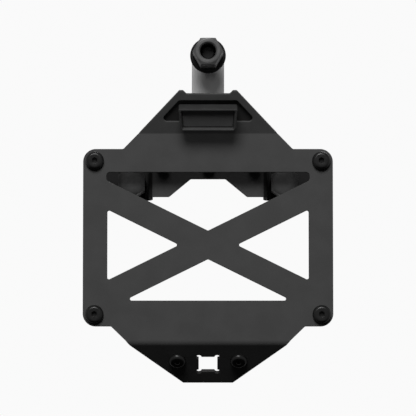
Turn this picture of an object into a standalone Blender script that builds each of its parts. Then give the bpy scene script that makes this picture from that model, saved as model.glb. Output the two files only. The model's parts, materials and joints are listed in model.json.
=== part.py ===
"""Spare wheel carrier flange with a folded licence plate bracket, lamp and lug nuts.

Metres, +Z up. -Y points outwards, away from the vehicle. The origin is on the wheel's axis, on the
face that the wheel sits on. Flat pieces are drawn in a sheet frame: x to the right, y up the sheet and
z outwards, with the sheet's back at z = 0.
"""

import math

import bmesh
import bpy
from mathutils import Matrix, Vector

MM = 0.001
GAP = 0.3 * MM  # between pieces that rest on each other
WELD = 0.001 * MM
ARC_STEP = math.radians(15)
ARC_ERROR = 0.05 * MM  # between an arc and its chords
BEND_STEP = math.radians(9)
SMOOTH_ANGLE = math.radians(35)

# Folded sheet
SHEET = 3 * MM
BEND_RADIUS = 3 * MM  # inside radius
CORNER = 2 * MM
WINDOW_CORNER = 1.4 * MM

# Wheel bolt circle, and the stack of pieces along each stud
BOLT_RADIUS = 69.85 * MM
STUD_ANGLES = {"top": 90, "left": 210, "right": 330}
STUD_RADIUS = 6 * MM
STUD_HOLE_RADIUS = STUD_RADIUS + GAP
STUD_HEAD_RADIUS = 9.5 * MM
STUD_HEAD_HEIGHT = 4 * MM
STUD_TIP = 41 * MM  # outwards of the wheel seat
STUD_CHAMFER = 1.2 * MM
FLANGE_THICKNESS = 8 * MM
FLANGE_LOBE_RADIUS = 13 * MM
FLANGE_WAIST_RADIUS = 50 * MM
VEHICLE_HOLE_RADIUS = 5.25 * MM
VEHICLE_BOLT_RADIUS = 30 * MM
WHEEL_PAD = 22 * MM  # thickness of the wheel between the flange and the nuts

# Lug nuts: open in front at the top, closed over the bracket's feet, each with a captive washer
NUT_FLATS = 21 * MM
NUT_CORNER_RADIUS = NUT_FLATS / math.sqrt(3)
NUT_LENGTH = 27 * MM
NUT_FACE_RADIUS = 9.7 * MM
NUT_CHAMFER = 1.4 * MM
NUT_DOME = 1.2 * MM
NUT_BORE_DEPTH = 16.5 * MM
NUT_WASHER_RADII = {"top": 14.3 * MM, "left": 11.4 * MM, "right": 11.4 * MM}
NUT_WASHER_BEVEL = 0.8 * MM
NUT_WASHER_HEIGHT = 2.7 * MM

# Face plate: half widths, and heights above the wheel's axis
PLATE_FRONT = 70 * MM
PLATE_BACK = PLATE_FRONT - SHEET
EAR_HALF_WIDTH = 98 * MM
EAR_TOP = -10.3 * MM
EAR_BOTTOM = -149.7 * MM
EAR_CORNER = 10 * MM
PLATE_HOLE_X = 88.9 * MM
PLATE_HOLE_RISE = 60.325 * MM
PLATE_MIDDLE = -80 * MM
PLATE_HOLE_RADIUS = 3.3 * MM
SHOULDER_TOP = (66.6 * MM, EAR_TOP)
SHOULDER_BOTTOM = (75.9 * MM, EAR_BOTTOM)

# Tongue, leaning outwards over the plate
TONGUE_ANGLE = math.radians(25)
TONGUE_FOLD = 1.2 * MM
TONGUE_ROOT = (54.4 * MM, 2.2 * MM)
TONGUE_TIP = (22.5 * MM, 37.6 * MM)
NOTCH_HALF_WIDTH = 17 * MM
NOTCH_DEPTH = 2.6 * MM
TONGUE_RIM = 5 * MM
TONGUE_WINDOW_BOTTOM = 12.2 * MM
TONGUE_WINDOW_TOP = 29.9 * MM

# Lower flange, leaning back towards the wheel
FLAP_ANGLE = math.radians(47)
FLAP_FOLD = -160.35 * MM
FLAP_ROOT = (63.2 * MM, -162 * MM)
FLAP_TIP = (19.6 * MM, -205.1 * MM)
PORT_MIDDLE = -184.6 * MM
PORT_WIDTH = 14.4 * MM
PORT_HEIGHT = 15.8 * MM
PORT_RELIEF = 2.1 * MM
CAMERA_HOLE_X = 24.1 * MM
CAMERA_HOLE_HEIGHT = -179.6 * MM
CAMERA_HOLE_RADIUS = 2.8 * MM

# Windows either side of the crossed bars
CROSS_MIDDLE = -85.8 * MM
BAR_SLOPE = 0.495
BAR_HALF_RISE = 11.2 * MM
SIDE_WINDOW_X = 78.9 * MM
TOP_WINDOW_X = 79.8 * MM
TOP_WINDOW_TOP = -28.5 * MM
TOP_WINDOW_END = 3 * MM
BOTTOM_WINDOW_BOTTOM = -129.5 * MM

# Rear bracket: a hat section whose feet sit under the two lower lug nuts
WEB_BACK = 52 * MM
WEB_HALF_FLAT = 41 * MM
WEB_TOP = 0.0
WEB_BOTTOM = -46.7 * MM
WALL_FLAT = 21 * MM
FOOT_HALF_HEIGHT = 13.5 * MM
FOOT_REACH = 21.5 * MM  # outwards of its stud
FOOT_CORNER = 9 * MM
CUTOUT_TOP = (13.7 * MM, -32.6 * MM)
CUTOUT_BOTTOM_X = 30.8 * MM

# Weld studs, spacers and lock nuts between the face plate and the rear bracket
WELD_STUDS = {
    "upper_left": (-36 * MM, -5 * MM),
    "upper_right": (36 * MM, -5 * MM),
    "lower_left": (-36 * MM, -21 * MM),
    "lower_right": (36 * MM, -21 * MM),
}
WELD_STUD_RADIUS = 2.5 * MM
WELD_STUD_LENGTH = 20 * MM
SPACER_RADIUS = 5 * MM
LOCK_NUT_HEIGHT = 4 * MM
LOCK_NUT_FLATS = 8 * MM
LOCK_NUT_FLANGE = 5.6 * MM

# Lamp, placed up the tongue from the end of its fold and outwards of the tongue's face
LAMP_HALF_WIDTH = 23 * MM
LAMP_BOTTOM = 5.6 * MM
LAMP_TOP = 23.7 * MM
LAMP_TAPER = 1.2 * MM
LAMP_FRONT = 13.3 * MM
LAMP_WALL = 2.3 * MM
LAMP_FLOOR = 3 * MM
LENS_BACK = 7.6 * MM
LENS_THICKNESS = 2 * MM
BOARD_THICKNESS = 1.4 * MM
CABLE_HEIGHT = 15 * MM
CABLE_RADIUS = 2 * MM
LAMP_SCREW_X = 10 * MM
BACKPLATE_THICKNESS = 1.5 * MM
GASKET_THICKNESS = 1 * MM

# Cable run between the plate and the rear bracket
CABLE_RUN = 60 * MM  # outwards of the wheel seat
CLIP_HEIGHT = -6 * MM
CLIP_SCREW_X = 9 * MM
CONNECTOR_TOP = -11.5 * MM
CONNECTOR_LENGTH = 14.5 * MM
CONNECTOR_RADIUS = 4.5 * MM

PARTS = "licence_plate_wheel_carrier"


def clear_scene():
    for obj in list(bpy.data.objects):
        bpy.data.objects.remove(obj, do_unlink=True)


def new_collection(name):
    collection = bpy.data.collections.new(name)
    bpy.context.scene.collection.children.link(collection)
    return collection


def material(name, colour, roughness, metallic):
    made = bpy.data.materials.new(name)
    made.use_nodes = True
    shader = made.node_tree.nodes["Principled BSDF"]
    shader.inputs["Base Color"].default_value = (*colour, 1)
    shader.inputs["Roughness"].default_value = roughness
    shader.inputs["Metallic"].default_value = metallic
    return made


def frame(name, location, tilt):
    """An empty whose x is the world's X and whose z points outwards, turned by tilt about X."""
    empty = bpy.data.objects.new(name, None)
    empty.location = location
    empty.rotation_euler.x = math.pi / 2 + tilt
    parts.objects.link(empty)
    return empty


def place(name, mesh, look, parent=None, location=(0, 0, 0), turn=(0, 0, 0)):
    obj = bpy.data.objects.new(name, mesh)
    obj.parent = parent
    obj.location = location
    obj.rotation_euler = turn
    if not mesh.materials:
        mesh.materials.append(look)
    parts.objects.link(obj)
    return obj


# Outlines


def rounded(corners):
    """A closed outline through corners of (x, y, radius), with an arc of that radius at each."""
    points = []
    for i, (x, y, radius) in enumerate(corners):
        here = Vector((x, y))
        before = (Vector(corners[i - 1][:2]) - here).normalized()
        after = (Vector(corners[(i + 1) % len(corners)][:2]) - here).normalized()
        if radius == 0:
            points.append(here)
            continue
        half = before.angle(after) / 2
        centre = here + (before + after).normalized() * radius / math.sin(half)
        first = here + before * radius / math.tan(half) - centre
        last = here + after * radius / math.tan(half) - centre
        begin = math.atan2(first.y, first.x)
        sweep = math.atan2(last.y, last.x) - begin
        sweep = math.remainder(sweep, 2 * math.pi)
        step = min(ARC_STEP, 2 * math.acos(max(0, 1 - ARC_ERROR / radius)))
        steps = max(2, math.ceil(abs(sweep) / step))
        for k in range(steps + 1):
            angle = begin + sweep * k / steps
            points.append(centre + radius * Vector((math.cos(angle), math.sin(angle))))
    return points


def ring(x, y, radius, steps=24, start=0.0):
    angles = [start + 2 * math.pi * k / steps for k in range(steps)]
    return [Vector((x + radius * math.cos(a), y + radius * math.sin(a))) for a in angles]


def hexagon(flats, start=0.0):
    return ring(0, 0, flats / math.sqrt(3), 6, start)


def mirrored(half):
    """Both halves of an outline whose right half runs from the top to the bottom."""
    return [*half, *[(-x, y, radius) for x, y, radius in reversed(half)]]


def shifted(points, dy):
    return [Vector((p[0], p[1] + dy)) for p in points]


def relieved_port(middle, width, height, relief):
    """A nearly square port whose corners are cleared by small round reliefs."""
    points = []
    for k, (across, up) in enumerate(((1, 1), (-1, 1), (-1, -1), (1, -1))):
        outwards = math.pi / 4 + k * math.pi / 2
        corner = Vector((across * width / 2, up * height / 2))
        for step in range(-4, 5):
            angle = outwards + step * math.radians(135) / 4 * 0.98
            points.append(corner + relief * Vector((math.cos(angle), math.sin(angle))))
    return shifted(points, middle)


# Meshes


def evaluated_mesh(obj):
    """The object's mesh with its modifiers applied; the object is removed."""
    bpy.context.view_layer.update()
    graph = bpy.context.evaluated_depsgraph_get()
    mesh = bpy.data.meshes.new_from_object(obj.evaluated_get(graph))
    bpy.data.objects.remove(obj, do_unlink=True)
    return mesh


def scratch(name, data):
    obj = bpy.data.objects.new(name, data)
    bpy.context.scene.collection.objects.link(obj)
    return obj


def sheet(name, outline, holes, thickness, back=0.0):
    """A flat piece from z = back to z = back + thickness, with its holes cut through."""
    curve = bpy.data.curves.new(name, "CURVE")
    curve.dimensions = "2D"
    curve.fill_mode = "BOTH"
    curve.extrude = thickness / 2
    for loop in [outline, *holes]:
        spline = curve.splines.new("POLY")
        spline.points.add(len(loop) - 1)
        for point, (x, y) in zip(spline.points, loop):
            point.co = (x, y, 0, 1)
        spline.use_cyclic_u = True
    mesh = evaluated_mesh(scratch(name, curve))
    bm = bmesh.new()
    bm.from_mesh(mesh)
    bmesh.ops.remove_doubles(bm, verts=bm.verts, dist=WELD)
    bmesh.ops.translate(bm, verts=bm.verts, vec=(0, 0, back + thickness / 2))
    bmesh.ops.recalc_face_normals(bm, faces=bm.faces)
    bm.to_mesh(mesh)
    bm.free()
    mesh.materials.clear()
    return mesh


def fold(mesh, heading, start, angle):
    """Bends the sheet beyond start, measured along heading, outwards when angle is positive."""
    heading = Vector((*heading, 0))
    middle_radius = BEND_RADIUS + SHEET / 2
    length = abs(angle) * middle_radius
    steps = max(3, round(abs(angle) / BEND_STEP))
    bm = bmesh.new()
    bm.from_mesh(mesh)
    for k in range(steps + 1):
        cut = heading * (start + length * k / steps)
        geometry = [*bm.verts, *bm.edges, *bm.faces]
        bmesh.ops.bisect_plane(bm, geom=geometry, dist=WELD, plane_co=cut, plane_no=heading)
    for vert in bm.verts:
        along = vert.co.dot(heading) - start
        if along <= 0:
            continue
        turned_by = min(along / length, 1) * abs(angle)
        beyond = max(along - length, 0)
        depth = vert.co.z if angle > 0 else SHEET - vert.co.z
        arm = BEND_RADIUS + SHEET - depth
        moved = arm * math.sin(turned_by) + beyond * math.cos(turned_by)
        raised = BEND_RADIUS + SHEET - arm * math.cos(turned_by) + beyond * math.sin(turned_by)
        vert.co += heading * (moved - along)
        vert.co.z = raised if angle > 0 else SHEET - raised
    bm.to_mesh(mesh)
    bm.free()


def folded_frame(name, height, angle):
    """The sheet frame past a fold of the face plate, with z = 0 on its outer face."""
    radius = BEND_RADIUS + (0 if angle > 0 else SHEET)
    side = 1 if angle > 0 else -1
    along = radius * math.sin(abs(angle)) * side
    outwards = radius * (1 - math.cos(angle)) * side
    return frame(name, (0, -PLATE_FRONT - outwards, height + along), abs(angle))


def fold_end(height, angle):
    """Where a fold ends on the flat pattern."""
    return height + angle * (BEND_RADIUS + SHEET / 2)


def turned(name, profile, steps=24, closed=False):
    """A turned piece about z from (radius, z) points that run down its outer side."""
    mesh = bpy.data.meshes.new(name)
    count = len(profile)
    edges = [(k, k + 1) for k in range(count - 1)]
    if closed:
        edges.append((count - 1, 0))
    mesh.from_pydata([(radius, 0, z) for radius, z in profile], edges, [])
    obj = scratch(name, mesh)
    screw = obj.modifiers.new("Turn", "SCREW")
    screw.steps = steps
    screw.render_steps = steps
    screw.use_merge_vertices = True
    screw.merge_threshold = WELD
    result = evaluated_mesh(obj)
    result.shade_smooth()
    result.set_sharp_from_angle(angle=SMOOTH_ANGLE)
    return result


def joined(name, mesh, other, operation):
    """The result of one Boolean between two meshes in the same place."""
    first = scratch(name, mesh)
    second = scratch(name + "_tool", other)
    boolean = first.modifiers.new("Join", "BOOLEAN")
    boolean.operation = operation
    boolean.object = second
    result = evaluated_mesh(first)
    bpy.data.objects.remove(second, do_unlink=True)
    return result


def moved(mesh, offset, turn=0.0, axis="X"):
    mesh.transform(Matrix.Translation(offset) @ Matrix.Rotation(turn, 4, axis))
    return mesh


def tube(inner, outer, low, high, steps=24):
    """A plain ring about z."""
    return turned("tube", [(inner, high), (outer, high), (outer, low), (inner, low)], steps, True)


# Pieces


def window_outlines():
    end = TOP_WINDOW_END
    bar = BAR_SLOPE * SIDE_WINDOW_X - BAR_HALF_RISE
    apex = BAR_HALF_RISE / BAR_SLOPE
    right = [
        (apex, CROSS_MIDDLE, WINDOW_CORNER),
        (SIDE_WINDOW_X, CROSS_MIDDLE + bar, WINDOW_CORNER),
        (SIDE_WINDOW_X, CROSS_MIDDLE - bar, WINDOW_CORNER),
    ]
    left = [(-x, y, radius) for x, y, radius in right]
    shoulder = CROSS_MIDDLE + BAR_SLOPE * TOP_WINDOW_X + BAR_HALF_RISE
    top = mirrored([(TOP_WINDOW_X, TOP_WINDOW_TOP, end), (TOP_WINDOW_X, shoulder, end)])
    top.insert(2, (0, CROSS_MIDDLE + BAR_HALF_RISE, WINDOW_CORNER))
    foot = (CROSS_MIDDLE - BAR_HALF_RISE - BOTTOM_WINDOW_BOTTOM) / BAR_SLOPE
    bottom = [
        (0, CROSS_MIDDLE - BAR_HALF_RISE, WINDOW_CORNER),
        (foot, BOTTOM_WINDOW_BOTTOM, WINDOW_CORNER),
        (-foot, BOTTOM_WINDOW_BOTTOM, WINDOW_CORNER),
    ]
    return [rounded(outline) for outline in (right, left, top, bottom)]


def tongue_window(grow, corner):
    """The trapezoid opening in the tongue, grown on every side."""
    run = TONGUE_ROOT[0] - TONGUE_TIP[0]
    rise = TONGUE_TIP[1] - TONGUE_ROOT[1]
    rim = (TONGUE_RIM - grow) * math.hypot(run, rise) / rise
    bottom = TONGUE_WINDOW_BOTTOM - grow
    top = TONGUE_WINDOW_TOP + grow
    corners = []
    for height in (top, bottom):
        x = TONGUE_ROOT[0] - (height - TONGUE_ROOT[1]) * run / rise - rim
        corners.append((x, height, corner))
    return rounded(mirrored(corners))


def plate_outline():
    tip_x, tip = TONGUE_TIP
    half = [
        (NOTCH_HALF_WIDTH, tip - NOTCH_DEPTH, CORNER / 2),
        (NOTCH_HALF_WIDTH + NOTCH_DEPTH, tip, CORNER / 4),
        (tip_x, tip, CORNER / 2),
        (*TONGUE_ROOT, 0),
        (*SHOULDER_TOP, CORNER),
        (EAR_HALF_WIDTH, EAR_TOP, EAR_CORNER),
        (EAR_HALF_WIDTH, EAR_BOTTOM, EAR_CORNER),
        (*SHOULDER_BOTTOM, CORNER),
        (*FLAP_ROOT, 0),
        (*FLAP_TIP, CORNER / 2),
    ]
    return rounded(mirrored(half))


def make_face_plate(look):
    holes = window_outlines()
    holes.append(tongue_window(0, 3 * MM))
    holes.append(relieved_port(PORT_MIDDLE, PORT_WIDTH, PORT_HEIGHT, PORT_RELIEF))
    for side in (-1, 1):
        holes.append(ring(side * CAMERA_HOLE_X, CAMERA_HOLE_HEIGHT, CAMERA_HOLE_RADIUS))
        for rise in (-PLATE_HOLE_RISE, PLATE_HOLE_RISE):
            holes.append(ring(side * PLATE_HOLE_X, PLATE_MIDDLE + rise, PLATE_HOLE_RADIUS))
    mesh = sheet("face_plate", plate_outline(), holes, SHEET)
    fold(mesh, (0, 1), TONGUE_FOLD, TONGUE_ANGLE)
    fold(mesh, (0, -1), -FLAP_FOLD, -FLAP_ANGLE)
    place("face_plate", mesh, look, frame("plate_back", (0, -PLATE_BACK, 0), 0))


def make_rear_bracket(look):
    quarter_turn = math.pi / 2 * (BEND_RADIUS + SHEET / 2)
    wall_end = WEB_HALF_FLAT + quarter_turn + WALL_FLAT
    outer_face = WEB_HALF_FLAT + BEND_RADIUS + SHEET
    hole_x = BOLT_RADIUS * math.cos(math.radians(STUD_ANGLES["right"]))
    hole_z = BOLT_RADIUS * math.sin(math.radians(STUD_ANGLES["right"]))
    hole = wall_end + quarter_turn + hole_x - outer_face - BEND_RADIUS
    end = hole + FOOT_REACH
    half = [
        (WEB_HALF_FLAT - CORNER, WEB_TOP, 4 * MM),
        (WEB_HALF_FLAT, hole_z + FOOT_HALF_HEIGHT, 4 * MM),
        (end, hole_z + FOOT_HALF_HEIGHT, FOOT_CORNER),
        (end, hole_z - FOOT_HALF_HEIGHT, FOOT_CORNER),
        (wall_end, WEB_BOTTOM, 0),
        (CUTOUT_BOTTOM_X, WEB_BOTTOM, CORNER),
        (*CUTOUT_TOP, CORNER),
    ]
    holes = [ring(x, y, WELD_STUD_RADIUS + GAP) for x, y in WELD_STUDS.values()]
    holes += [ring(side * hole, hole_z, STUD_HOLE_RADIUS + GAP, 32) for side in (-1, 1)]
    holes.append(ring(CLIP_SCREW_X, CLIP_HEIGHT, 2.3 * MM))
    mesh = sheet("rear_bracket", rounded(mirrored(half)), holes, SHEET)
    for side in (-1, 1):
        fold(mesh, (side, 0), wall_end, math.pi / 2)
        fold(mesh, (side, 0), WEB_HALF_FLAT, -math.pi / 2)
    place("rear_bracket", mesh, look, frame("web_back", (0, -WEB_BACK, 0), 0))


def stud_points():
    """Each stud's name and place on the wheel's bolt circle."""
    for name, degrees in STUD_ANGLES.items():
        angle = math.radians(degrees)
        yield name, angle, Vector((math.cos(angle), math.sin(angle)))


def make_stud_flange(look):
    """A three-armed flange: an arm with a round end for each stud, and hollow sides between."""
    corners, holes = [], []
    reach = BOLT_RADIUS + FLANGE_LOBE_RADIUS
    for _, angle, out in stud_points():
        across = Vector((-out.y, out.x)) * FLANGE_LOBE_RADIUS
        for side in (-1, 1):
            corner = out * reach + across * side
            corners.append((*corner, 0.99 * FLANGE_LOBE_RADIUS))
        bisector = angle + math.pi / 3
        waist = FLANGE_LOBE_RADIUS / math.sin(math.pi / 3)
        corners.append((waist * math.cos(bisector), waist * math.sin(bisector), FLANGE_WAIST_RADIUS))
        holes.append(ring(*(out * BOLT_RADIUS), STUD_HOLE_RADIUS, 32))
        holes.append(ring(*(out * VEHICLE_BOLT_RADIUS), VEHICLE_HOLE_RADIUS))
    mesh = sheet("stud_flange", rounded(corners), holes, FLANGE_THICKNESS)
    place("stud_flange", mesh, look, frame("flange_back", (0, FLANGE_THICKNESS, 0), 0))


def stud_mesh():
    tip = STUD_TIP + FLANGE_THICKNESS + GAP
    profile = [
        (0, tip),
        (STUD_RADIUS - STUD_CHAMFER, tip),
        (STUD_RADIUS, tip - STUD_CHAMFER),
        (STUD_RADIUS, 0),
        (STUD_HEAD_RADIUS, 0),
        (STUD_HEAD_RADIUS, 1 * MM - STUD_HEAD_HEIGHT),
        (STUD_HEAD_RADIUS - 1 * MM, -STUD_HEAD_HEIGHT),
        (0, -STUD_HEAD_HEIGHT),
    ]
    return turned("wheel_stud", profile, 32)


def lug_nut_mesh(closed):
    """A hexagon nut from z = 0, bored through, or closed by a low dome over a blind bore."""
    outer = NUT_CORNER_RADIUS + 1 * MM
    drop = (outer - NUT_FACE_RADIUS) * math.tan(math.radians(30))
    dome = NUT_DOME if closed else 0
    barrel = [
        (0, NUT_LENGTH),
        (NUT_FACE_RADIUS * 0.6, NUT_LENGTH - dome * 0.3),
        (NUT_FACE_RADIUS, NUT_LENGTH - dome),
        (outer, NUT_LENGTH - dome - drop),
        (outer, drop),
        (NUT_FACE_RADIUS, 0),
        (0, 0),
    ]
    start = math.radians(30) if closed else 0.0
    prism = sheet("lug_nut", hexagon(NUT_FLATS, start), [], NUT_LENGTH + 2 * MM, -1 * MM)
    nut = joined("lug_nut", prism, turned("barrel", barrel, 48), "INTERSECT")
    depth = NUT_BORE_DEPTH if closed else NUT_LENGTH + 1 * MM
    tip = NUT_CHAMFER if closed else 0
    bore = [
        (0, depth),
        (STUD_HOLE_RADIUS - tip, depth),
        (STUD_HOLE_RADIUS, depth - NUT_CHAMFER),
        (STUD_HOLE_RADIUS, -1 * MM),
        (0, -1 * MM),
    ]
    return joined("lug_nut", nut, turned("bore", bore, 32), "DIFFERENCE")


def nut_washer_mesh(radius):
    profile = [
        (STUD_HOLE_RADIUS + GAP, NUT_WASHER_HEIGHT),
        (radius - NUT_WASHER_BEVEL, NUT_WASHER_HEIGHT),
        (radius, NUT_WASHER_HEIGHT / 2),
        (radius, 0),
        (STUD_HOLE_RADIUS + GAP, 0),
    ]
    return turned("nut_washer", profile, 40, True)


def make_wheel_fixings(look):
    stud = stud_mesh()
    open_nut, closed_nut = lug_nut_mesh(False), lug_nut_mesh(True)
    for name, _, out in stud_points():
        x, z = out * BOLT_RADIUS
        foot = WHEEL_PAD if name == "top" else WHEEL_PAD + SHEET
        stud_frame = frame("stud_" + name, (x, 0, z), 0)
        head = (0, 0, -FLANGE_THICKNESS - GAP)
        place("wheel_stud_" + name, stud, look, stud_frame, head)
        washer = nut_washer_mesh(NUT_WASHER_RADII[name])
        place("nut_washer_" + name, washer, look, stud_frame, (0, 0, foot + GAP))
        seat = foot + NUT_WASHER_HEIGHT + 2 * GAP
        nut = open_nut if name == "top" else closed_nut
        place("lug_nut_" + name, nut, look, stud_frame, (0, 0, seat))


def button_screw(radius, height, shank, length, drive):
    """A domed socket screw with its head's seat at z = 0."""
    dome = [
        (0, height),
        (radius * 0.55, height),
        (radius * 0.8, height * 0.78),
        (radius * 0.95, height * 0.45),
        (radius, height * 0.15),
        (radius, 0),
        (shank, 0),
        (shank, 0.8 * MM - length),
        (shank - 0.8 * MM, -length),
        (0, -length),
    ]
    socket = sheet("socket", hexagon(drive), [], height, height * 0.4)
    return joined("button_screw", turned("button_screw", dome), socket, "DIFFERENCE")


def hex_nut(flats, bore, height):
    """A plain nut whose outer face is at z = 0."""
    return sheet("hex_nut", hexagon(flats), [ring(0, 0, bore)], height, -height)


def flange_nut():
    nut = hex_nut(LOCK_NUT_FLATS, WELD_STUD_RADIUS + GAP, LOCK_NUT_HEIGHT)
    flange = tube(WELD_STUD_RADIUS + GAP, LOCK_NUT_FLANGE, -1.2 * MM, 0)
    return joined("flange_nut", nut, flange, "UNION")


def make_plate_fixings(look):
    screw = button_screw(7.25 * MM, 4.2 * MM, 3 * MM, 13 * MM, 4 * MM)
    nut = hex_nut(10 * MM, 3.3 * MM, 5 * MM)
    face = frame("plate_face", (0, -PLATE_FRONT, PLATE_MIDDLE), 0)
    for upper, rise in (("upper", 1), ("lower", -1)):
        for hand, side in (("left", -1), ("right", 1)):
            place_screw = (side * PLATE_HOLE_X, rise * PLATE_HOLE_RISE, GAP)
            place_nut = (side * PLATE_HOLE_X, rise * PLATE_HOLE_RISE, -SHEET - GAP)
            place(f"plate_screw_{upper}_{hand}", screw, look, face, place_screw)
            place(f"plate_nut_{upper}_{hand}", nut, look, face, place_nut)


def make_camera_fixings(look):
    screw = button_screw(6.6 * MM, 3.4 * MM, 2.5 * MM, 11 * MM, 3 * MM)
    nut = hex_nut(8 * MM, 2.8 * MM, 4 * MM)
    face = folded_frame("flap_face", FLAP_FOLD, -FLAP_ANGLE)
    height = CAMERA_HOLE_HEIGHT - fold_end(FLAP_FOLD, -FLAP_ANGLE)
    for hand, side in (("left", -1), ("right", 1)):
        x = side * CAMERA_HOLE_X
        place("camera_screw_" + hand, screw, look, face, (x, height, GAP))
        place("camera_nut_" + hand, nut, look, face, (x, height, -SHEET - GAP))


def make_bracket_joints(stud_look, spacer_look):
    """Weld studs on the plate's back carry the rear bracket on spacers."""
    stud = turned(
        "weld_stud",
        [
            (0, 0),
            (WELD_STUD_RADIUS, 0),
            (WELD_STUD_RADIUS, 0.7 * MM - WELD_STUD_LENGTH),
            (WELD_STUD_RADIUS - 0.7 * MM, -WELD_STUD_LENGTH),
            (0, -WELD_STUD_LENGTH),
        ],
    )
    length = PLATE_BACK - WEB_BACK - SHEET - 2 * GAP
    spacer = tube(WELD_STUD_RADIUS + GAP, SPACER_RADIUS, -length, 0)
    nut = flange_nut()
    back = frame("plate_inside", (0, -PLATE_BACK + GAP, 0), 0)
    nut_seat = WEB_BACK - PLATE_BACK
    for name, (x, y) in WELD_STUDS.items():
        place("weld_stud_" + name, stud, stud_look, back, (x, y, 0))
        place("spacer_" + name, spacer, spacer_look, back, (x, y, 0))
        place("lock_nut_" + name, nut, stud_look, back, (x, y, nut_seat))


def lamp_outline(inset):
    """The lamp's front outline: a little narrower at the bottom, with rounder lower corners."""
    top, bottom = LAMP_TOP - inset, LAMP_BOTTOM + inset
    half = [
        (LAMP_HALF_WIDTH - inset, top, 1.2 * MM),
        (LAMP_HALF_WIDTH - inset - LAMP_TAPER, bottom, max(3.6 * MM - inset, 1 * MM)),
    ]
    return rounded(mirrored(half))


def lamp_housing_mesh():
    """A tub, open outwards, with a boss that passes through the tongue's opening."""
    tub = sheet("tub", lamp_outline(0), [], LAMP_FRONT - GAP, GAP)
    hollow = sheet("hollow", lamp_outline(LAMP_WALL), [], LAMP_FRONT, LAMP_FLOOR)
    tub = joined("tub", tub, hollow, "DIFFERENCE")
    boss_half = [(15 * MM, 21 * MM, CORNER), (15 * MM, 10.5 * MM, CORNER)]
    boss = sheet("boss", rounded(mirrored(boss_half)), [], SHEET + 1 * MM, GAP - SHEET)
    housing = joined("lamp_housing", tub, boss, "UNION")
    cable_way = turned("cable_way", rod(CABLE_RADIUS + GAP, -5 * MM, 5 * MM))
    housing = joined("lamp_housing", housing, moved(cable_way, (0, CABLE_HEIGHT, 0)), "DIFFERENCE")
    for side in (-1, 1):
        hole = turned("screw_way", rod(1.8 * MM, -5 * MM, 1.8 * MM))
        hole = moved(hole, (side * LAMP_SCREW_X, CABLE_HEIGHT, 0))
        housing = joined("lamp_housing", housing, hole, "DIFFERENCE")
    return housing


def rod(radius, low, high):
    """The profile of a plain solid cylinder about z."""
    return [(0, high), (radius, high), (radius, low), (0, low)]


def make_lamp(looks):
    tongue = folded_frame("tongue_face", TONGUE_FOLD, TONGUE_ANGLE)
    down = -fold_end(TONGUE_FOLD, TONGUE_ANGLE)
    place("lamp_housing", lamp_housing_mesh(), looks["housing"], tongue)
    inner = LAMP_WALL + GAP
    lens = sheet("lamp_lens", lamp_outline(inner), [], LENS_THICKNESS, LENS_BACK)
    place("lamp_lens", lens, looks["lens"], tongue)
    board_back = LAMP_FLOOR + GAP
    board = sheet("lamp_board", lamp_outline(inner), [], BOARD_THICKNESS, board_back)
    place("lamp_board", board, looks["board"], tongue)
    led_back = board_back + BOARD_THICKNESS + GAP
    depth = LENS_BACK - GAP - led_back
    hole = lamp_outline(inner + 1.2 * MM)
    reflector = sheet("lamp_reflector", lamp_outline(inner), [hole], depth, led_back)
    place("lamp_reflector", reflector, looks["reflector"], tongue)
    chip_half = [(1.8 * MM, 1.4 * MM, 0.2 * MM), (1.8 * MM, -1.4 * MM, 0.2 * MM)]
    chip = sheet("lamp_led", rounded(mirrored(chip_half)), [], 1 * MM, led_back)
    for k, x in enumerate((-12 * MM, 0, 12 * MM)):
        place(f"lamp_led_{k + 1}", chip, looks["led"], tongue, (x, CABLE_HEIGHT, 0))
    make_lamp_back(looks, tongue, down)


def make_lamp_back(looks, tongue, down):
    """The gasket and plate that close the opening from behind, their screws and the grommet."""
    cover = shifted(tongue_window(3 * MM, 3 * MM), down)
    grommet_hole = ring(0, CABLE_HEIGHT, 4.5 * MM)
    screw_holes = [ring(x, CABLE_HEIGHT, 1.8 * MM) for x in (-LAMP_SCREW_X, LAMP_SCREW_X)]
    holes = [grommet_hole, *screw_holes]
    gasket_back = -SHEET - GAP - GASKET_THICKNESS
    gasket = sheet("lamp_gasket", cover, holes, GASKET_THICKNESS, gasket_back)
    place("lamp_gasket", gasket, looks["rubber"], tongue)
    plate_back = gasket_back - GAP - BACKPLATE_THICKNESS
    plate = sheet("lamp_backplate", cover, holes, BACKPLATE_THICKNESS, plate_back)
    place("lamp_backplate", plate, looks["plate"], tongue)
    screw = turned(
        "lamp_screw",
        [
            (0, 1.2 * MM - plate_back),
            (1.5 * MM, 1.2 * MM - plate_back),
            (1.5 * MM, 0),
            (2.8 * MM, 0),
            (2.8 * MM, -1.2 * MM),
            (1.8 * MM, -2 * MM),
            (0, -2 * MM),
        ],
    )
    for hand, side in (("left", -1), ("right", 1)):
        seat = (side * LAMP_SCREW_X, CABLE_HEIGHT, plate_back - GAP)
        place("lamp_screw_" + hand, screw, looks["screw"], tongue, seat)
    inner = CABLE_RADIUS + GAP
    grommet = turned(
        "cable_grommet",
        [
            (inner, -SHEET - GAP),
            (4.2 * MM, -SHEET - GAP),
            (4.2 * MM, plate_back - GAP),
            (5.6 * MM, plate_back - GAP),
            (5.6 * MM, plate_back - 1.5 * MM),
            (inner + 0.8 * MM, plate_back - 3.5 * MM),
            (inner, plate_back - 3.5 * MM),
        ],
        24,
        True,
    )
    place("cable_grommet", grommet, looks["rubber"], tongue, (0, CABLE_HEIGHT, 0))
    make_cable(looks, tongue, plate_back)


def bezier(a, b, c, d, steps):
    """Points along a cubic curve from a to d, without the first."""
    for k in range(1, steps + 1):
        t = k / steps
        s = 1 - t
        yield a * s**3 + b * 3 * s * s * t + c * 3 * s * t * t + d * t**3


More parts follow.
